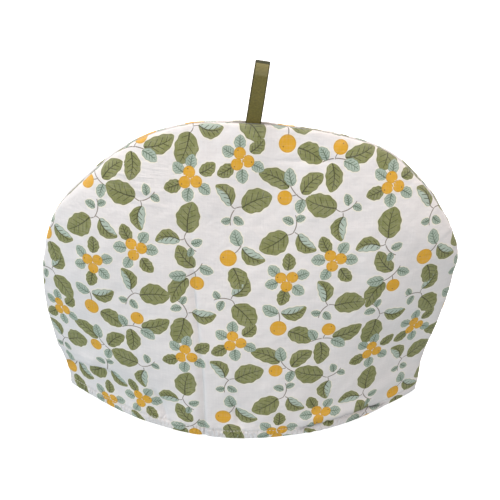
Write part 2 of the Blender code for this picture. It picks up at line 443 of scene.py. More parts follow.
def outline_point(u, v, inset):
    """(x, z) of a wall's corners, blended from its hem and three stretches of its arch."""
    left = on_arch(LEFT_SHOULDER * v, inset)
    right = on_arch(1 - (1 - RIGHT_SHOULDER) * v, inset)
    top = on_arch(LEFT_SHOULDER + (RIGHT_SHOULDER - LEFT_SHOULDER) * u, inset)
    foot = np.array((SEAM_ARCH[0], SEAM_ARCH[-1])) + ((inset, 0), (-inset, 0))
    peak = on_arch(np.array((LEFT_SHOULDER, RIGHT_SHOULDER)), inset)
    u = u[:, None]
    v = v[:, None]
    left += (1 - v) * (foot[0] - on_arch(0.0, inset))
    right += (1 - v) * (foot[1] - on_arch(1.0, inset))
    hem = (1 - u) * foot[0] + u * foot[1]
    across = (1 - u) * left + u * right
    up = (1 - v) * hem + v * top
    return across + up - (1 - v) * hem - v * ((1 - u) * peak[0] + u * peak[1])


def stand_off(u, v):
    """How far the wall stands off the seam's plane: 0 at the seam and 1 at the hem's middle.

    A parabola along the hem and a rounded tent up the middle, joined as a*b/(a+b-a*b).
    """
    along = 4 * u * (1 - u)
    up = (1 - v) * (1 + BELLY * v)
    return along * up / np.maximum(along + up - along * up, 1e-9)


def half_wall(u, v):
    """Half the wall's depth: it grows from nothing at the seam and from a thin hem."""
    from_hem = 1 - (1 - HEM_WALL / WALL) * np.exp(-v / HEM_SWELL)
    return WALL / 2 * risen(stand_off(u, v), SEAM_SWELL) * from_hem


def beside_line(x, z, x0, z0, x1, z1, fade):
    """Distance to one side of a line, and a share that fades past its two ends."""
    length = math.hypot(x1 - x0, z1 - z0)
    run = ((x - x0) * (x1 - x0) + (z - z0) * (z1 - z0)) / length
    side = ((z - z0) * (x1 - x0) - (x - x0) * (z1 - z0)) / length
    return side, bell(past(run, 0, length), 0, fade)


def fold_swell(x, z, folds, dents):
    """How far the folds and dents push the wall out.

    A fold is a bell-shaped valley with a bell-shaped swell over it, and a dent is a round bell.
    """
    swell = np.zeros_like(x)
    for *line, half_width, drawn_in, swell_over, fade in folds:
        side, share = beside_line(x, z, *line, fade)
        side = side / half_width
        swell += (swell_over * bell(side, *FOLD_OVER) - drawn_in * bell(side, 0, 1)) * share
    for centre_x, centre_z, radius, drawn_in in dents:
        swell -= drawn_in * bell(np.hypot(x - centre_x, z - centre_z), 0, radius)
    return swell


def creased(x, z, creases):
    """Height of the fine creases: each is a bell-shaped ridge or valley along its line."""
    height = np.zeros_like(x)
    for *line, half_width, rise, fade in creases:
        side, share = beside_line(x, z, *line, fade)
        height += rise * bell(side, 0, half_width) * share
    return height


def parting(x, v):
    """Half the gap between the walls' edges, wider around the ribbon."""
    legs = LEG_GAP / 2 + LOOP_THICK + LOOP_CLEARANCE
    aside = ramp(np.abs(x - LOOP_X), PARTING_PLATEAU, PARTING_PLATEAU + PARTING_RAMP)
    parted = 0.5 + 0.5 * np.cos(math.pi * aside)
    parted *= bell((1 - v) * SEAM_TOP, 0, PARTING_DEPTH)
    return SEAM_GAP / 2 + (legs - SEAM_GAP / 2) * parted


def wall_skin(u, v, skin, wall):
    """A wall's (x, out, z): skin is 1 for its outside and -1 for its inside."""
    x, z = outline_point(u, v, 0.0 if skin > 0 else EDGE_INSET).T
    free = stand_off(u, v)
    out = parting(x, v) + HEM_SPREAD * free + skin * half_wall(u, v)
    calm = 1 - bell(free, 0, SEAM_CALM)
    out += fold_swell(x, z, wall["folds"], wall["dents"]) * calm
    low = np.clip(HEM_ROUND - z, 0, HEM_ROUND)
    out -= skin * (HEM_ROUND - np.sqrt(HEM_ROUND**2 - low**2)) * (free > HEM_FREE)
    return np.stack((x, out, z), axis=-1)


def tucked(grid, x, z, tucks):
    """The grid with its tucks, and the share of painted shade that lies under each lip and on it.

    A lip slides down and out, and a valley is drawn in below it. Both are bells across the
    line, the lip's centre a little above it and the valley's below.
    """
    grid = grid.copy()
    shade = np.zeros_like(x)
    for tuck in tucks:
        line_x, *along = np.array(tuck).T
        height, slide, dark = (np.interp(x, line_x, values) for values in along)
        here = bell(past(x, line_x[0], line_x[-1]), 0, TUCK_FADE)
        side = z - height
        for middle, width, out, up in TUCK_BELLS:
            moved = (slide * here * bell(side, middle, width)).reshape(grid.shape[:2])
            grid[..., 1] += out * moved
            grid[..., 2] += up * moved
        # painted shade: most just below the lip, where it hides the cloth, and a little on the lip
        under = sum(share * bell(side, middle, width) for middle, width, share in TUCK_PAINTED_SHADES)
        shade = np.maximum(shade, dark * here * under)
    return grid, shade


def ripples(across, up, seed, spread, count=14):
    """Soft unevenness from -1 to 1: a sum of waves in seeded directions, spread mm long."""
    draw = np.random.default_rng(seed)
    total = np.zeros_like(across)
    for turn, stretch, phase in draw.uniform(0, 1, (count, 3)):
        wave = 2 * math.pi / (spread * (0.7 + 0.9 * stretch))
        along = across * math.cos(math.pi * turn) + up * math.sin(math.pi * turn)
        total += np.sin(wave * along + 2 * math.pi * phase)
    return total / math.sqrt(2 * count)


def from_seam(x, z):
    """Each point's distance to the arch, and the share of the arch's length it is nearest to.

    The points are taken a batch at a time, to keep the table of distances small.
    """
    shares = np.linspace(0, 1, SEAM_STEPS)
    arch = on_arch(shares)
    away = np.empty_like(x)
    share = np.empty_like(x)
    for rows in np.array_split(np.arange(len(x)), SEAM_BATCHES):
        apart = np.hypot(x[rows, None] - arch[:, 0], z[rows, None] - arch[:, 1])
        nearest = apart.argmin(axis=1)
        away[rows] = apart[np.arange(len(rows)), nearest]
        share[rows] = shares[nearest]
    return away, share


def outwards(grid):
    """Unit directions that point out of a grid of (x, out, z) points."""
    up, across = np.gradient(grid, axis=(0, 1))
    return unit(np.cross(up, across))


def way_in(u, v):
    """How each point of a wall moves in the seam's plane when its outline is inset by 1 mm."""
    return outline_point(u, v, 1.0) - outline_point(u, v, 0.0)


def widened(grid, u, v):
    """The grid pushed out sideways from its middle: a little all round, more at each bulge.

    The push is the way in from the seam, turned about, times a bell over the distance to it.
    """
    x, _, z = grid.reshape(-1, 3).T
    away, _ = from_seam(x, z)
    push = np.full(len(x), SPREAD)
    for side, height, reach, far in BULGES:
        push += far * (x * side > 0) * bell(z, height, reach)
    push *= bell(away, 0, SPREAD_REACH)
    grid = grid.copy()
    grid[..., (0, 2)] -= (way_in(u, v) * push[:, None]).reshape(*grid.shape[:-1], 2)
    return grid


def pressed_line(x, z, line):
    """How far each point is to the right of the pressed line, and how firm the line is."""
    line_x, line_z = np.array(line).T
    firm = PRESS_FAINT + (1 - PRESS_FAINT) * ramp(z, *PRESS_FIRM)
    return x - np.interp(z, line_z, line_x), firm


def press_dip(beside, firm):
    """How deep the pressed line is: the product of its two slopes, squared."""
    left, right = PRESS_SIDES
    return PRESS_DEPTH * firm * (ramp(beside, -left, 0) * ramp(beside, right, 0)) ** 2


def lean_dip(x, z, middle, reach, deep, height):
    """How far a wall that leans out lies back: evenly deeper up to a height, then a bell."""
    over = np.maximum(z / height - 1, 0)
    return deep * plateau(x, middle, reach) * ramp(z, 0, height) * bell(over, 0, LEAN_FADE)


def seam_relief(away, run, seed):
    """The seam's swell, d*exp(1-d) of the distance d, uneven along it, and its puckers."""
    beside = away / PUFF_AT
    share, long = PUFF_WAVES
    uneven = 1 + share * ripples(run, away * SLOWER_ACROSS, seed, long)
    pucker = PUCKER * ripples(run, np.zeros_like(run), seed + 1, PUCKER_LONG)
    pucker *= bell(away, 0, PUCKER_REACH) * (1 - bell(away, 0, SEAM_HELD))
    return PUFF * beside * np.exp(1 - beside) * uneven + pucker


def hem_relief(x, z, seed):
    """The topstitching's dip, and small waves in the cloth on both sides of it."""
    waves = HEM_WAVES * ripples(x, z * SLOWER_ACROSS, seed, HEM_WAVES_LONG)
    waves *= bell(z, STITCH_LINE, HEM_WAVES_REACH) * risen(z, HEM_WAVES_FOOT)
    return waves - STITCH_DIP * bell(z, STITCH_LINE, STITCH_DIP_WIDTH)


def dressed_skin(u, v, shape, wall):
    """The wall's outside with its fine relief, as a grid of (x, out, z).

    Along the surface's own direction it adds the puffed seam, puckers, creases, the dip of the
    topstitching and soft unevenness. In the seam's plane it draws the stitched edge in, and
    low down it lets the hem flare out below its tuck. With the grid come each point's distance
    to the seam, and the painted shade under a lip, the place beside the pressed line and its
    firmness.
    """
    bare = wall_skin(u, v, 1, wall)
    x, _, z = bare.T
    seed = wall["seed"]
    away, share = from_seam(x, z)
    beside_press, firm = pressed_line(x, z, wall["pressed"])
    relief = creased(x, z, wall["creases"]) + hem_relief(x, z, seed + 4)
    relief -= press_dip(beside_press, firm) + lean_dip(x, z, *wall["lean"])
    relief *= 1 - bell(away, 0, SEAM_HELD)
    relief += seam_relief(away, share * SEAM_RUN, seed)
    soft = sum(high * ripples(x, z, seed + 2 + i, long) for i, (high, long) in enumerate(SOFT))
    relief += soft * (1 - bell(away, 0, SOFT_FROM_SEAM)) * risen(z, SOFT_FROM_HEM)
    grid = bare.reshape(*shape, 3)
    grid = grid + outwards(grid) * relief.reshape(*shape, 1)
    grid, shade = tucked(grid, x, z, wall["tucks"])
    middle, reach, far, height = wall["flare"]
    flare = far * plateau(x, middle, reach) * bell(z, 0, height)
    grid[..., 1] += flare.reshape(shape)
    drawn_in = GROOVE * bell(away, 0, GROOVE_WIDTH) * risen(z, GROOVE_FOOT)
    shallower, near = GROOVE_AT_LOOP
    drawn_in *= 1 - shallower * bell(x, LOOP_X, near)
    grid[..., (0, 2)] += (unit(way_in(u, v)) * drawn_in[:, None]).reshape(*shape, 2)
    grid[..., 2] = np.maximum(grid[..., 2], z.reshape(shape) * HEM_LOWEST)
    return widened(grid, u, v), away, np.column_stack((shade, beside_press, firm))


def stops(first, last, middle, length):
    """Shares from 0 to 1 with small cells at both ends and even cells between."""
    rest = length - sum(first) - sum(last)
    count = round(rest / middle)
    cells = (*first, *(rest / count,) * count, *reversed(last))
    return np.concatenate(([0.0], np.cumsum(cells))) / sum(cells)


# ---------------------------------------------------------------- the cloth laid flat


def pairs(grid):
    """The neighbours in a grid: along rows, along columns and along both diagonals."""
    yield grid[:, :-1], grid[:, 1:]
    yield grid[:-1], grid[1:]
    yield grid[:-1, :-1], grid[1:, 1:]
    yield grid[1:, :-1], grid[:-1, 1:]


def relaxed(flat, shaped, rounds):
    """Lays a curved grid flat: neighbours are moved apart or together to their true distance.

    In each round a point goes half as far again as its neighbours ask, to settle sooner.
    """
    lengths = [np.linalg.norm(b - a, axis=-1) for a, b in pairs(shaped)]
    for _ in range(rounds):
        push = np.zeros_like(flat)
        count = np.zeros(flat.shape[:2])
        held = zip(pairs(flat), pairs(push), pairs(count), lengths)
        for (a, b), (push_a, push_b), (count_a, count_b), length in held:
            gap = b - a
            far = np.linalg.norm(gap, axis=-1)
            move = gap * (0.5 * (1 - length / far))[..., None]
            push_a += move
            push_b -= move
            count_a += 1
            count_b += 1
        flat = flat + 1.5 * push / count[..., None]
    return flat


def between(grid, u, v):
    """Straight-line values of a grid at every pair of a row share v and a column share u."""
    rows, columns = np.array(grid.shape[:2]) - 1
    r = np.minimum((v * rows).astype(int), rows - 1)
    c = np.minimum((u * columns).astype(int), columns - 1)
    up = (v * rows - r)[:, None, None]
    along = (u * columns - c)[None, :, None]
    low = grid[r][:, c] * (1 - along) + grid[r][:, c + 1] * along
    high = grid[r + 1][:, c] * (1 - along) + grid[r + 1][:, c + 1] * along
    return low * (1 - up) + high * up


def cloth_places(u, v, wall):
    """Where each point of the wall lay on the flat cloth, in mm from the middle of its hem.

    A coarse grid is laid flat first and then two finer ones, each started from the last.
    """
    flat = None
    for columns, rows, rounds in ((28, 22, 500), (56, 44, 400), (112, 88, 300)):
        across = np.linspace(0, 1, columns + 1)
        up = np.linspace(0, 1, rows + 1)
        all_u, all_v = (axis.ravel() for axis in np.meshgrid(across, up))
        shaped = wall_skin(all_u, all_v, 1, wall).reshape(rows + 1, columns + 1, 3)
        if flat is None:
            climb = np.linalg.norm(np.diff(shaped[..., 1:], axis=0), axis=-1)
            climb = np.vstack((np.zeros(columns + 1), np.cumsum(climb, axis=0)))
            flat = np.stack((shaped[..., 0], climb), axis=-1)
        else:
            flat = between(flat, across, up)
        flat = relaxed(flat, shaped, rounds)
    foot = between(flat, np.array([0.5]), np.array([0.0]))[0, 0]
    head = between(flat, np.array([0.5]), np.array([1.0]))[0, 0] - foot
    c, s = head[1] / math.hypot(*head), head[0] / math.hypot(*head)
    flat = (flat - foot) @ np.array(((c, s), (-s, c)))
    return between(flat, u, v)


# ---------------------------------------------------------------- the print


def leaf_width(a):
    """A leaf's half width at a share of its length, 1 at its widest.

    It is a power of the distance from the stalk times a power of the distance from the tip.
    """
    a = np.clip(a, 0, 1)
    return a**LEAF_STALK * (1 - a) ** LEAF_TIP / LEAF_WIDEST


WIDEST_AT = LEAF_STALK / (LEAF_STALK + LEAF_TIP)
LEAF_WIDEST = WIDEST_AT**LEAF_STALK * (1 - WIDEST_AT) ** LEAF_TIP


def repeats(low, high, start, size):
    """Numbers of the repeats that a stretch of cloth reaches into."""
    return range(math.floor((low - start) / size) - 1, math.ceil((high - start) / size) + 1)


def printed_pieces(low, high, start):
    """Every stem, leaf and fruit on the cloth between two corners, with its place on it."""
    for i in repeats(low[0], high[0], start[0], REPEAT[0]):
        for j in repeats(low[1], high[1], start[1], REPEAT[1]):
            for number, (column, row, right, up, turn, motif) in enumerate(LAYOUT):
                x0 = start[0] + REPEAT[0] * (i + column / 4) + right
                y0 = start[1] + REPEAT[1] * (j + row / 4 + column % 2 / 8) + up
                c, s = math.cos(math.radians(turn)), math.sin(math.radians(turn))
                for count, (kind, x, y, own_turn, *size) in enumerate(MOTIFS[motif]):
                    # a seed over a half marks a leaf whose edge is turned over
                    seed = (0.37 * number + 0.61 * count) % 0.4 + 0.05
                    seed += 0.5 * (kind == "turned")
                    place = (x0 + c * x - s * y, y0 + s * x + c * y)
                    yield kind, *place, math.radians(turn + own_turn), *size, seed


def within(points, kind, x, y, turn, length, half_width, bend):
    """Places in a piece: along its length from its stalk, and across its bent half width."""
    right, up = points[..., 0] - x, points[..., 1] - y
    along = (right * math.cos(turn) + up * math.sin(turn)) / length
    across = up * math.cos(turn) - right * math.sin(turn)
    bow = 0.0 if kind == "fruit" else bend * 4 * along * (1 - along)
    return along, (across - bow) / half_width


def depth_within(a, b, kind, length, half_width):
    """How deep inside a piece each place is, and below 0 outside it."""
    if kind == "fruit":
        return (1 - np.hypot(a, b)) * half_width
    wide = 1.0 if kind == "stem" else leaf_width(a)
    return (wide - np.abs(b)) * half_width - past(a, 0, 1) * length


def print_layer(corners, kinds, start):
    """For each cell's corners, their places in the piece that the cell shows, and its code.

    A cell shows the piece that it is deepest in. The code is ten times the half width, in whole
    steps, and the piece's own seed behind the point.
    """
    centres = corners.mean(axis=1)
    deepest = np.full(len(centres), -PRINT_REACH)
    places = np.tile(np.array(UNPRINTED), (len(centres), 4, 1))
    low, high = centres.min(axis=0), centres.max(axis=0)
    for kind, x, y, turn, length, half_width, bend, seed in printed_pieces(low, high, start):
        if kind not in kinds:
            continue
        reach = max(length, half_width) + abs(bend) + PRINT_REACH
        near = np.flatnonzero((np.abs(centres - (x, y)) < reach).all(axis=1))
        a, b = within(centres[near], kind, x, y, turn, length, half_width, bend)
        depth = depth_within(a, b, kind, length, half_width)
        wins = depth > deepest[near]
        near = near[wins]
        deepest[near] = depth[wins]
        a, b = within(corners[near], kind, x, y, turn, length, half_width, bend)
        code = np.full_like(a, math.floor(10 * half_width + 0.01) + seed)
        places[near] = np.stack((a, b, code), axis=-1)
    return places


# ---------------------------------------------------------------- meshes


def corner_numbers(faces):
    """The number of the point at each face corner, one group of faces after the other."""
    return np.concatenate([group.ravel() for group in faces])


def new_piece(name, points, faces, material):
    """A mesh object at the origin, from points in mm and arrays of faces of equal size."""
    mesh = bpy.data.meshes.new(name)
    mesh.vertices.add(len(points))
    mesh.vertices.foreach_set("co", (points * MM).astype(np.float32).ravel())
    corners = corner_numbers(faces)
    sizes = np.concatenate([np.full(len(group), group.shape[1]) for group in faces])
    mesh.loops.add(len(corners))
    mesh.loops.foreach_set("vertex_index", corners.astype(np.int32))
    mesh.polygons.add(len(sizes))
    starts = np.concatenate(([0], np.cumsum(sizes)[:-1]))
    mesh.polygons.foreach_set("loop_start", starts.astype(np.int32))
    mesh.update(calc_edges=True)
    mesh.validate()
    mesh.materials.append(material)
    mesh.shade_smooth()
    mesh.set_sharp_from_angle(angle=SMOOTH_UP_TO)
    piece = bpy.data.objects.new(name, mesh)
    bpy.context.scene.collection.objects.link(piece)
    return piece


def faces_of(*corners):
    """Faces from arrays of point numbers, one array for each corner."""
    return np.stack([corner.ravel() for corner in corners], axis=-1)


def grid_faces(rows, columns, first=0):
    """Faces of a grid of points, numbered row by row from first."""
    number = first + np.arange(rows * columns).reshape(rows, columns)
    return faces_of(number[:-1, :-1], number[:-1, 1:], number[1:, 1:], number[1:, :-1])


def rim_faces(rows, columns):
    """Faces that join the border of one grid to that of the next, all the way round."""
    number = np.arange(rows * columns).reshape(rows, columns)
    sides = (number[0, :-1], number[:-1, -1], number[-1, :0:-1], number[:0:-1, 0])
    border = np.concatenate(sides)
    after = np.roll(border, -1)
    under = rows * columns
    return faces_of(border, border + under, after + under, after)


def two_sided(name, outside, inside, material, flipped):
    """A closed sheet: two grids of (x, y, z) points with a rim of faces between their borders."""
    rows, columns, _ = outside.shape
    faces = [
        grid_faces(rows, columns),
        grid_faces(rows, columns, rows * columns)[:, ::-1],
        rim_faces(rows, columns),
    ]
    if flipped:
        faces = [group[:, ::-1] for group in faces]
    points = np.concatenate((outside.reshape(-1, 3), inside.reshape(-1, 3)))
    return new_piece(name, points, faces, material), faces


def write_vectors(piece, name, values):
    """Writes one vector for each face corner."""
    layer = piece.data.attributes.new(name, "FLOAT_VECTOR", "CORNER")
    layer.data.foreach_set("vector", values.astype(np.float32).ravel())


def write_map(piece, flat):
    """Writes the piece's own map, one place in a unit square for each face corner."""
    layer = piece.data.uv_layers.new(name="OFBake")
    layer.uv.foreach_set("vector", flat.astype(np.float32).ravel())


def fitted(values, low, high):
    """Values moved and scaled to reach from low to high in each column."""
    least, most = values.min(axis=0), values.max(axis=0)
    low, high = np.array(low), np.array(high)
    return low + (high - low) * (values - least) / np.maximum(most - least, 1e-9)


def make_wall(name, wall, material):
    """One wall: its dressed outside, its plain inside and the print on its cells."""
    u_stops = stops(SEAM_CELLS, SEAM_CELLS, CELL, WALL_ACROSS)
    v_stops = stops(HEM_CELLS, SEAM_CELLS, CELL_UP, WALL_UP)
    shape = (len(v_stops), len(u_stops))
    u, v = (axis.ravel() for axis in np.meshgrid(u_stops, v_stops))
    outside, away, painted_shade_and_press = dressed_skin(u, v, shape, wall)
    inside = widened(wall_skin(u, v, -1, wall).reshape(*shape, 3), u, v)
    cloth = cloth_places(u_stops, v_stops, wall)
    facing = np.array((1.0, wall["side"], 1.0))
    piece, faces = two_sided(name, outside * facing, inside * facing, material, wall["side"] > 0)
    shown = faces[0].ravel()
    order = corner_numbers(faces)
    blank = len(order) - len(shown)
    flat = cloth.reshape(-1, 2)
    for layer, kinds in PRINT_LAYERS.items():
        printed = print_layer(flat[faces[0]], kinds, wall["print_start"]).reshape(-1, 3)
        write_vectors(piece, layer, np.vstack((printed, np.tile(UNPRINTED, (blank, 1)))))
    both = np.concatenate((flat, flat))
    edge = np.concatenate((away[shown], np.full(blank, -1.0)))
    write_vectors(piece, "cloth", np.column_stack((both[order], edge)))
    # the painted shade under the lips, and the place beside the pressed line and its firmness
    write_vectors(piece, "painted_shade_and_press", np.vstack((painted_shade_and_press[shown], np.tile(UNFOLDED, (blank, 1)))))
    fit = fitted(both, (MAP_EDGE, MAP_OUTSIDE), (1 - MAP_EDGE, 1 - MAP_EDGE))[order]
    fit[len(shown) :, 1] = MAP_EDGE + (fit[len(shown) :, 1] - MAP_OUTSIDE) * MAP_INSIDE
    write_map(piece, fit)
    return piece, outside


def stitch_row(outside):
    """The line on a wall's outside at the stitching's height, and the ways out from it."""
    row = (outside[..., 2] >= STITCH_LINE).argmax(axis=0) - 1
    column = np.arange(outside.shape[1])
    low, high = outside[row, column], outside[row + 1, column]
    share = ramp(STITCH_LINE, low[:, 2], high[:, 2])
    return low + (high - low) * share[:, None], outwards(outside)[row, column]


def make_topstitch(name, outside, wall, material):
    """The hem's stitches: short arched threads that dive into the cloth at both ends.

    They follow the stitching's row, one to each pitch, but for the stretches that a tuck
    covers. A stitch rises as a parabola and gets thinner to its ends, as sqrt(1 - 0.8*s**4).
    """
    line, face = stitch_row(outside)
    run = run_along(line)
    middles = np.arange(STITCH_END, run[-1] - STITCH_END, STITCH_PITCH)
    for under_tuck in wall["covered"]:
        start, end = np.interp(under_tuck, line[:, 0], run)
        middles = middles[(middles < start) | (middles > end)]
    s = np.linspace(-1, 1, STITCH_RINGS)
    at = middles[:, None] + s * STITCH_LONG / 2
    out = unit(read_at(at, run, face))
    path = read_at(at, run, line) + out * (STITCH_RISE * (1 - s**2) - STITCH_SUNK)[:, None]
    beside = np.cross(unit(np.gradient(path, axis=1)), out)[:, :, None]
    turn = np.linspace(0, 2 * math.pi, STITCH_SIDES, endpoint=False)[:, None]
    ring = beside * np.cos(turn) + out[:, :, None] * np.sin(turn)
    points = path[:, :, None] + ring * (THREAD * np.sqrt(1 - 0.8 * s**4))[:, None, None]
    number = np.arange(points.size // 3).reshape(points.shape[:3])
    after = np.roll(number, -1, axis=2)
    caps = np.concatenate((number[:, 0, ::-1], number[:, -1]))
    faces = [faces_of(number[:, :-1], after[:, :-1], after[:, 1:], number[:, 1:]), caps]
    if wall["side"] < 0:
        faces = [group[:, ::-1] for group in faces]
    points = points.reshape(-1, 3) * np.array((1.0, wall["side"], 1.0))
    return new_piece(name, points, faces, material)


# ---------------------------------------------------------------- the ribbon


def loop_section(share):
    """(y, z) of the ribbon's middle line and its direction, from one tail to the other."""
    leg = (LEG_GAP + LOOP_THICK) / 2
    foot = SEAM_TOP - LOOP_TAIL
    straight = LOOP_TALL + LOOP_TAIL - LOOP_CROWN
    arc = LOOP_ARC * LOOP_CROWN
    run = share * (2 * straight + arc)
    turn = np.clip((run - straight) / arc * math.pi, 0, math.pi)
    turn += LOOP_PINCH * np.sin(2 * turn)
    height = np.minimum(run, 2 * straight + arc - run)
    height = foot + np.clip(height, 0, straight)
    opening = ramp(height - SEAM_TOP - LOOP_SHUT, 0, LOOP_SPREAD)
    opening = opening**2 * (3 - 2 * opening)
    spread = leg + (LOOP_HALF_DEPTH - leg) * opening
    return np.stack((-spread * np.cos(turn), height + LOOP_CROWN * np.sin(turn)), -1)


def make_ribbon(name, material, rounds=260, across=20):
    """The hanging loop: a strip bent over, with its edges curled a little and ribs across."""
    share = np.linspace(0, 1, rounds + 1)
    section = loop_section(share)
    along = unit(np.gradient(section, axis=0))
    out = np.stack((-along[:, 1], along[:, 0]), -1)
    side = np.linspace(-1, 1, across + 1)
    side = side + 0.12 * np.sin(math.pi * side)
    lift = ramp(section[:, 1], SEAM_TOP, SEAM_TOP + LOOP_TALL)
    width = LOOP_WIDTH + (LOOP_CROWN_WIDTH - LOOP_WIDTH) * lift
    curl = LOOP_CURL * np.sin(math.pi * np.clip(lift * 1.1, 0, 1))
    bow = curl[:, None] * (side**2 - 0.4)
    half = LOOP_THICK / 2 * (0.92 - 0.25 * side**8)
    skins = []
    for face in (1, -1):
        middle = section[:, None] + out[:, None] * (bow + face * half)[..., None]
        x = side * width[:, None] / 2
        z = middle[..., 1] - SEAM_TOP
        c, s = math.cos(LOOP_LEAN), math.sin(LOOP_LEAN)
        turned = (LOOP_X + c * x + s * z, middle[..., 0], SEAM_TOP + c * z - s * x)
        skins.append(np.stack(turned, -1))
    piece, faces = two_sided(name, *skins, material, False)
    run = run_along(section)
    weave = np.stack(np.meshgrid(side, run), -1).reshape(-1, 2)
    both = np.concatenate((weave, weave))
    order = corner_numbers(faces)
    past_crown = both[order, 1] - run[-1] / 2
    write_vectors(piece, "weave", np.column_stack((both[order], past_crown)))
    fit = fitted(both, (MAP_EDGE, MAP_EDGE), (MAP_RIBBON, 1 - MAP_EDGE))[order]
    fit[faces[0].size :, 0] += MAP_HALF
    write_map(piece, fit)
    return piece


# ---------------------------------------------------------------- materials


def ink(red, green, blue, strength=1.0):
    """A colour given in 8-bit screen values, as light, times a strength."""
    screen = np.array((red, green, blue)) / 255
    light = np.where(screen < 0.0404, screen / 12.92, ((screen + 0.055) / 1.055) ** 2.4)
    return (*np.minimum(light * strength, 1.0).tolist(), 1.0)


def maths(operation, turned=False):
    """A way for a Thread to add one Math node; turned, the other value comes before its own."""

    def method(self, *others):
        values = (*others, self) if turned else (self, *others)
        return self.loom.node("ShaderNodeMath", {"operation": operation}, dict(enumerate(values)))

    return method


class Thread:
    """One value in a material: arithmetic on it adds Math nodes."""

    def __init__(self, loom, socket):
        self.loom = loom
        self.socket = socket

    __add__ = maths("ADD")
    __radd__ = maths("ADD", turned=True)
    __sub__ = maths("SUBTRACT")
    __rsub__ = maths("SUBTRACT", turned=True)
    __mul__ = maths("MULTIPLY")
    __rmul__ = maths("MULTIPLY", turned=True)
    __truediv__ = maths("DIVIDE")
    __pow__ = maths("POWER")
    __gt__ = maths("GREATER_THAN")
    __lt__ = maths("LESS_THAN")
    __abs__ = maths("ABSOLUTE")
    floor = maths("FLOOR")
    part = maths("FRACT")
    sine = maths("SINE")
    most = maths("MAXIMUM")

    def also(self, output):
        """Another output of the same node."""
        return Thread(self.loom, self.socket.node.outputs[output])

    def past(self):
        """How far the value is below 0 or above 1."""
        return (0.0 - self).most(self - 1.0).most(0.0)

    def share(self):
        """The value held between 0 and 1."""
        return self.loom.node("ShaderNodeClamp", {}, {"Value": self})

    def edge(self, soft):
        """0 well below zero and 1 well above it, changing over a soft edge."""
        return (self / soft + 0.5).share()


class Loom:
    """The nodes of a material or of the world, added one by one."""

    def __init__(self, owner):
        owner.use_nodes = True
        self.owner = owner
        self.tree = owner.node_tree

    def put(self, socket, value):
        if isinstance(value, Thread):
            self.tree.links.new(value.socket, socket)
        else:
            socket.default_value = value

    def node(self, kind, settings, values, output=0):
        """A node of a kind, with its settings made first and then its sockets' values or links."""
        made = self.tree.nodes.new(kind)
        for name, setting in settings.items():
            setattr(made, name, setting)
        for name, value in values.items():
            self.put(made.inputs[name], value)
        return Thread(self, made.outputs[output])

    def attribute(self, name):
        """The three numbers of an attribute."""
        read = self.node("ShaderNodeAttribute", {"attribute_name": name}, {}, "Vector")
        x = self.node("ShaderNodeSeparateXYZ", {}, {"Vector": read})
        return x, x.also("Y"), x.also("Z")

    def vector(self, x, y, z=0.0):
        return self.node("ShaderNodeCombineXYZ", {}, {"X": x, "Y": y, "Z": z})

    def noise(self, vector, scale, detail=2.0, roughness=0.5):
        values = {"Vector": vector, "Scale": scale, "Detail": detail, "Roughness": roughness}
        return self.node("ShaderNodeTexNoise", {}, values)

    def over(self, share, below, above):
        """The colour above laid over the colour below by a share."""
        values = {0: share, 6: below, 7: above}
        return self.node("ShaderNodeMix", {"data_type": "RGBA"}, values, 2)

    def bumped(self, height, distance, strength, under=None):
        values = {"Height": height, "Distance": distance * MM, "Strength": strength}
        if under is not None:
            values["Normal"] = under
        return self.node("ShaderNodeBump", {}, values)

    def finish(self, constant, varying):
        """Sets the shader's values, first the even ones and then the varying ones."""
        shader = self.tree.nodes["Principled BSDF"]
        for name, value in (*constant.items(), *varying.items()):
            self.put(shader.inputs[name], value)
        return self.owner


COTTON = ink(227, 224, 222, 1.07)
COTTON_SHADE = (0.52, 0.50, 0.51, 1.0)
LINING = ink(224, 220, 212)
# painted shade along the seam
SEAM_PAINTED_SHADE = ink(138, 142, 148)
# painted shade under the tucks' lips
LIP_PAINTED_SHADE = ink(92, 92, 94)
HALO = ink(236, 232, 206, 1.05)
STEM = ink(104, 92, 72)
OLIVE = ink(148, 151, 100)
OLIVE_DEEP = ink(116, 122, 66)
OLIVE_LINE = ink(62, 64, 32)
SAGE = ink(155, 172, 156)
SAGE_PALE = ink(176, 192, 178)
SAGE_LINE = ink(76, 98, 78)
ORANGE = ink(224, 170, 46)
ORANGE_DEEP = ink(194, 138, 30)
FRUIT_DOT = ink(120, 84, 36)
RIBBON = ink(128, 117, 50)
RIBBON_DEEP = ink(94, 88, 38)
# darker along the ribbon's edges, and painted shade along the crest of its bend
RIBBON_EDGE_AND_PAINTED_SHADE = ink(40, 44, 18)
# painted highlight on the top of the ribbon's bend
RIBBON_PAINTED_HIGHLIGHT = ink(156, 146, 100)
WHITE_THREAD = ink(220, 218, 210)
TABLE = (0.93, 0.93, 0.93, 1.0)
TABLE_GRAIN = (0.90, 0.90, 0.90, 1.0)


def leaf_shares(a, b, half, seed):
    """Shares of a leaf's fill, outline, veins and halo at a place in it.

    The leaf is where its wavy width is more than the distance from its middle line. Its side
    veins are where a slanted count of the length passes a half.
    """
    inner = a.share()
    wide = inner**LEAF_STALK * (1 - inner) ** LEAF_TIP / LEAF_WIDEST
    above = b > 0.0
    wavy = 1.0 + 0.045 * (a * 21.0 + seed * 60.0 + above * 2.0).sine()
    across = abs(b)
    depth = (wide * wavy - across) * half - a.past() * half * 3.0
    fill = depth.edge(0.30)
    outline = (0.42 - depth).edge(0.30)
    halo = (depth + 0.85).edge(0.5)
    middle = (0.52 - 0.34 * inner - across * half).edge(0.22) * (a < 0.92)
    count = (a - across * 0.27) * 5.2 + above * 0.5 + seed
    from_vein = abs(count.part() - 0.5) * half * 0.55
    side = (0.27 - from_vein).edge(0.20) * (across < wide * 0.66) * (a > 0.10) * (a < 0.82)
    return fill, outline, middle.most(side), halo


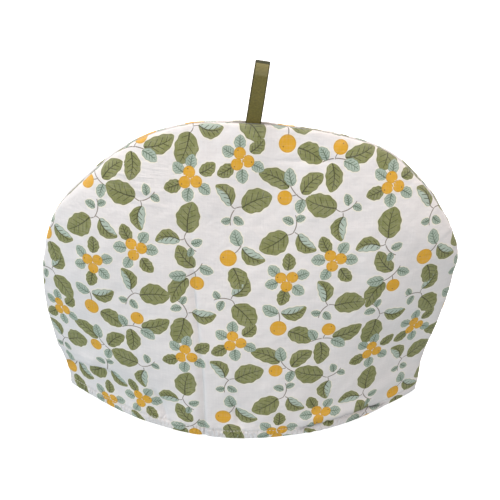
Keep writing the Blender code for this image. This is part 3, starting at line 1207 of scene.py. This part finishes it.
def olive_leaves(loom):
    """Share, colour and halo of the olive leaves, some with one pale edge turned over."""
    a, b, code = loom.attribute("olive_leaves")
    half, seed = code.floor() * 0.1, code.part()
    leaf, rim, vein, halo = leaf_shares(a, b, half, seed)
    brushed = loom.noise(loom.vector(a * 5.0, b * 2.2, seed * 90.0), 1.0, 3.0, 0.6)
    fill = loom.over((brushed * 1.7 - 0.45).share(), OLIVE_DEEP, OLIVE)
    turned_edge = (b - 0.16 - 0.5 * (a - 0.5)).edge(0.14) * (seed > 0.5)
    fill = loom.over(turned_edge, fill, SAGE_PALE)
    fill = loom.over(rim * 0.55, fill, OLIVE_LINE)
    return leaf * 0.97, loom.over(vein * 0.95, fill, OLIVE_LINE), halo


def sage_leaves(loom):
    """Share, colour and halo of the paler leaves, washed in two tones."""
    a, b, code = loom.attribute("sage_leaves")
    half, seed = code.floor() * 0.1, code.part()
    leaf, rim, vein, halo = leaf_shares(a, b, half, seed)
    washed = loom.noise(loom.vector(a * 4.0, b * 2.0, seed * 90.0), 1.0, 2.0)
    fill = loom.over((washed * 1.6 - 0.3).share(), SAGE, SAGE_PALE)
    fill = loom.over(rim * 0.6, fill, SAGE_LINE)
    return leaf * 0.97, loom.over(vein * 0.85, fill, SAGE_LINE), halo


def fruits(loom, streaks):
    """Share, colour and halo of the round fruit: deeper at the rim, with one small dot."""
    a, b, code = loom.attribute("fruits")
    half = code.floor() * 0.1
    depth = (1.0 - (a * a + b * b) ** 0.5) * half
    from_dot = ((a - 0.58) * (a - 0.58) + b * b) ** 0.5 * half
    fill = loom.over((0.55 - depth).edge(0.6) * 0.6, ORANGE, ORANGE_DEEP)
    fill = loom.over((streaks * 1.6 - 0.6).share() * 0.35, fill, ORANGE_DEEP)
    fill = loom.over((0.46 - from_dot).edge(0.3) * 0.85, fill, FRUIT_DOT)
    return depth.edge(0.30) * 0.98, fill, (depth + 0.6).edge(0.5)


def stems(loom):
    """Share of the thin stems."""
    a, b, code = loom.attribute("stems")
    depth = (1.0 - abs(b)) * code.floor() * 0.1 - a.past() * 14.0
    return depth.edge(0.25) * 0.9


def cotton_relief(loom, s, t, slubs):
    """The cloth's fine relief, from the coarsest to the finest.

    Crumples, the pressed line's sharp foot, the pull at one shoulder, gathers and crushed
    folds beside the hem's stitching, slubs, and a weave of two crossed sine waves.
    """
    weave = (s * (math.pi / WEAVE)).sine() * (t * (math.pi / WEAVE)).sine()
    crumple = loom.noise(loom.vector(s * 0.11, t * 0.11, 5.0), 1.0, 3.0, 0.55)
    beside_stitch = (t - GATHERS_AT) / GATHERS_REACH
    low_down = (1.0 - beside_stitch * beside_stitch).share()
    gathers = (s * (2 * math.pi / GATHERS) + crumple * 12.0).sine() * low_down
    crushed = loom.noise(loom.vector(s * 0.34, t * 0.22, 11.0), 1.0, 2.0)
    crushed = crushed * (CRUSHED_UP_TO - t).edge(8.0)
    across = (s - PULLED_AT[0]) / PULLED_REACH[0]
    up = (t - PULLED_AT[1]) / PULLED_REACH[1]
    pulled = loom.noise(loom.vector(s * 0.035, t * 0.42, 9.0), 1.0, 2.0)
    pulled = pulled * (1.0 - across * across - up * up).share()
    _, beside_press, firm = loom.attribute("painted_shade_and_press")
    pressed = (1.0 + beside_press / 7.0).share() * (1.0 - beside_press / 2.0).share()
    normal = None
    for height, distance, strength in (
        (crumple, 1.6, 0.6),
        (1.0 - pressed * pressed * firm, 1.2, 1.0),
        (pulled, 1.2, 0.6),
        (gathers, 0.35, 0.8),
        (crushed, 1.6, 0.8),
        (slubs, 0.10, 0.5),
        (weave, 0.05, 0.35),
    ):
        normal = loom.bumped(height, distance, strength, normal)
    return normal


def printed_cotton(name):
    """Plain-weave cotton with the leaves and fruit printed over it, painted shade along its seam
    and under its tucks' lips, and its plain inside.
    """
    loom = Loom(bpy.data.materials.new(name))
    s, t, edge = loom.attribute("cloth")
    lining = edge < -0.5
    slub_across = loom.noise(loom.vector(s * 0.05, t * 0.9), 1.0)
    slub_up = loom.noise(loom.vector(s * 0.9, t * 0.05, 7.0), 1.0)
    slubs = slub_across + slub_up
    patchy = loom.noise(loom.vector(s, t), 0.035, 3.0)
    streaks = loom.noise(loom.vector(s * 0.5, t * 0.5, 3.0), 1.0, 4.0, 0.7)
    shade = (0.4 + (slubs - 1.0) * 1.5 + (patchy - 0.5) * 2.4).share()
    ground = loom.over(shade * 0.18, loom.over(lining, COTTON, LINING), COTTON_SHADE)

    olive, olive_fill, olive_halo = olive_leaves(loom)
    sage, sage_fill, sage_halo = sage_leaves(loom)
    fruit, fruit_fill, fruit_halo = fruits(loom, streaks)
    halo = olive_halo.most(sage_halo).most(fruit_halo)
    threads = (0.02 + (slubs - 1.0) * 0.22 + (streaks - 0.5) * 0.10).share()
    # painted shade along the seam: a broad band beside it and a darker line right at it
    painted_seam_shade = (5.0 - edge).edge(6.0) * 0.14 + (0.9 - edge).edge(1.0) * 0.32
    # painted shade under each tuck's lip and on it
    painted_lip_shade, _, _ = loom.attribute("painted_shade_and_press")
    colour = ground
    for share, above in (
        (halo * 0.6, HALO),
        (stems(loom), STEM),
        (olive, olive_fill),
        (sage, sage_fill),
        (fruit, fruit_fill),
        (threads, COTTON),
        (painted_seam_shade * (1.0 - lining), SEAM_PAINTED_SHADE),
        ((painted_lip_shade * 0.92).share(), LIP_PAINTED_SHADE),
    ):
        colour = loom.over(share, colour, above)
    return loom.finish(
        {"Specular IOR Level": 0.1, "Sheen Weight": 0.03, "Sheen Roughness": 0.5},
        {
            "Base Color": colour,
            "Roughness": 0.86 + 0.08 * (slubs - 1.0),
            "Normal": cotton_relief(loom, s, t, slubs),
        },
    )


def olive_ribbon():
    """Ribbed ribbon: fine ribs across it, darker along both edges, with a painted highlight over
    the top of its bend and painted shade in a dark line along its crest.
    """
    loom = Loom(bpy.data.materials.new("olive_ribbon"))
    side, run, past_crown = loom.attribute("weave")
    ribs = (run * (2 * math.pi / RIBS)).sine()
    mottled = loom.noise(loom.vector(side * 3.0, run * 0.8), 1.0, 3.0)
    edge = (abs(side) - 0.83).edge(0.08)
    # painted shade: a dark line along the crest of the bend
    bend = (past_crown + 2.2).edge(0.6) * (3.2 - past_crown).edge(0.8)
    # painted highlight: the top of the bend paler, where it faces the light from above
    pressed = (past_crown + 9.4 + mottled).edge(1.4) * (9.4 - past_crown).edge(1.4)
    colour = loom.over((0.35 + ribs * 0.15 + (mottled - 0.5) * 1.3).share(), RIBBON_DEEP, RIBBON)
    colour = loom.over(pressed * (0.5 + ribs * 0.12), colour, RIBBON_PAINTED_HIGHLIGHT)
    colour = loom.over(edge * 0.7, colour, RIBBON_EDGE_AND_PAINTED_SHADE)
    colour = loom.over(bend * 0.95, colour, RIBBON_EDGE_AND_PAINTED_SHADE)
    normal = loom.bumped(ribs, 0.10, 0.6)
    normal = loom.bumped(mottled, 0.15, 0.3, normal)
    return loom.finish(
        {"Specular IOR Level": 0.3},
        {"Base Color": colour, "Roughness": 0.50 + 0.08 * ribs, "Normal": normal},
    )


def white_thread():
    """Sewing thread: matt white with fine twisted plies."""
    loom = Loom(bpy.data.materials.new("white_thread"))
    place = loom.node("ShaderNodeTexCoord", {}, {}, "Object")
    plies = loom.node("ShaderNodeTexWave", {}, {"Vector": place, "Scale": 900.0})
    return loom.finish(
        {"Roughness": 0.75},
        {
            "Base Color": loom.over(plies * 0.25, WHITE_THREAD, LINING),
            "Normal": loom.bumped(plies, 0.05, 0.4),
        },
    )


def table_top():
    """A pale matt table that glows a little."""
    loom = Loom(bpy.data.materials.new("pale_table"))
    place = loom.node("ShaderNodeTexCoord", {}, {}, "Object")
    grain = loom.noise(place, 3.0)
    colour = loom.over(grain * 0.2, TABLE, TABLE_GRAIN)
    return loom.finish(
        {"Roughness": 0.9, "Specular IOR Level": 0.0, "Emission Strength": 0.7},
        {"Base Color": colour, "Emission Color": colour},
    )


# ---------------------------------------------------------------- the cosy

FRONT = {
    "side": -1,
    "folds": FRONT_FOLDS,
    "dents": FRONT_DENTS,
    "creases": FRONT_CREASES,
    "tucks": FRONT_TUCKS,
    "covered": ((44.0, 118.0),),
    "flare": FRONT_FLARE,
    "pressed": FRONT_PRESSED,
    "lean": FRONT_LEAN,
    "seed": 11,
    "print_start": (-77.0, -10.0),
}
BACK = {
    "side": 1,
    "folds": BACK_FOLDS,
    "dents": BACK_DENTS,
    "creases": BACK_CREASES,
    "tucks": BACK_TUCKS,
    "covered": (),
    "flare": BACK_FLARE,
    "pressed": BACK_PRESSED,
    "lean": BACK_LEAN,
    "seed": 41,
    "print_start": (-40.0, -52.0),
}
thread = white_thread()
front_wall, front_skin = make_wall("front_wall", FRONT, printed_cotton("printed_cotton"))
back_wall, back_skin = make_wall("back_wall", BACK, printed_cotton("printed_cotton_back"))
front_stitches = make_topstitch("front_topstitch", front_skin, FRONT, thread)
back_stitches = make_topstitch("back_topstitch", back_skin, BACK, thread)
ribbon_loop = make_ribbon("ribbon_loop", olive_ribbon())

for piece in (front_wall, back_wall, front_stitches, back_stitches, ribbon_loop):
    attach(piece, "root")
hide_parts("front_panel")
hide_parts("back_panel")
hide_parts("hanging_loop")

# ---------------------------------------------------------------- table, light and camera

TABLE_HALF = 6.0
TABLE_LOW = 0.0004  # the table lies this far below the hem
turns = ((-1, -1), (1, -1), (1, 1), (-1, 1))
table_corners = [(TABLE_HALF * x, TABLE_HALF * y, -TABLE_LOW) for x, y in turns]
table_mesh = bpy.data.meshes.new("table")
table_mesh.from_pydata(table_corners, [], [(0, 1, 2, 3)])
table_mesh.materials.append(table_top())
table = bpy.data.objects.new("table", table_mesh)
bpy.context.scene.collection.objects.link(table)
table.visible_diffuse = False

HORIZON_LOW = 0.08  # the light's blend starts this far below the horizon
HORIZON_BLEND = 0.32  # and takes this much of the way up


def sun(name, direction, strength, angle, colour):
    """Broad even light from a direction, softened by its angle in degrees."""
    lamp = bpy.data.lights.new(name, "SUN")
    lamp.energy = strength
    lamp.angle = math.radians(angle)
    lamp.color = colour
    holder = bpy.data.objects.new(name, lamp)
    holder.rotation_euler = Vector(direction).to_track_quat("Z", "Y").to_euler()
    bpy.context.scene.collection.objects.link(holder)


def studio_light(low, high):
    """The room's even light: one colour from below, blended over the horizon to another."""
    loom = Loom(bpy.data.worlds.new("studio"))
    way = loom.node("ShaderNodeTexCoord", {}, {}, "Generated")
    rise = loom.node("ShaderNodeSeparateXYZ", {}, {"Vector": way}, "Z")
    share = ((rise + HORIZON_LOW) / HORIZON_BLEND).share()
    loom.put(loom.tree.nodes["Background"].inputs["Color"], loom.over(share, low, high))
    bpy.context.scene.world = loom.owner


sun("ceiling", (-0.06, 0.08, 1.0), 2.2, 34.0, (1.0, 0.95, 0.86))
sun("window", (-1.0, -0.50, 0.0), 1.22, 50.0, (0.60, 0.82, 1.0))
studio_light((0.44, 0.52, 0.53, 1.0), (0.93, 0.83, 0.83, 1.0))
bpy.context.scene.view_settings.view_transform = "Standard"

VIEW_AT = Vector((0.0041, 0.0, 0.1395))
VIEW_FROM = 0.550
VIEW_DOWN = math.radians(33.0)
VIEW_TURN = math.radians(1.93)
SENSOR = 36.0
FOCAL = 717.9 / 500  # the lens's length as a share of the frame's width
forward = Vector(
    (
        -math.sin(VIEW_TURN) * math.cos(VIEW_DOWN),
        math.cos(VIEW_TURN) * math.cos(VIEW_DOWN),
        -math.sin(VIEW_DOWN),
    )
)
lens = bpy.data.cameras.new("camera")
lens.sensor_width = SENSOR
lens.lens = SENSOR * FOCAL
lens.clip_start = 0.01
camera = bpy.data.objects.new("camera", lens)
camera.location = VIEW_AT - forward * VIEW_FROM
camera.rotation_euler = forward.to_track_quat("-Z", "Y").to_euler()
bpy.context.scene.collection.objects.link(camera)
bpy.context.scene.camera = camera
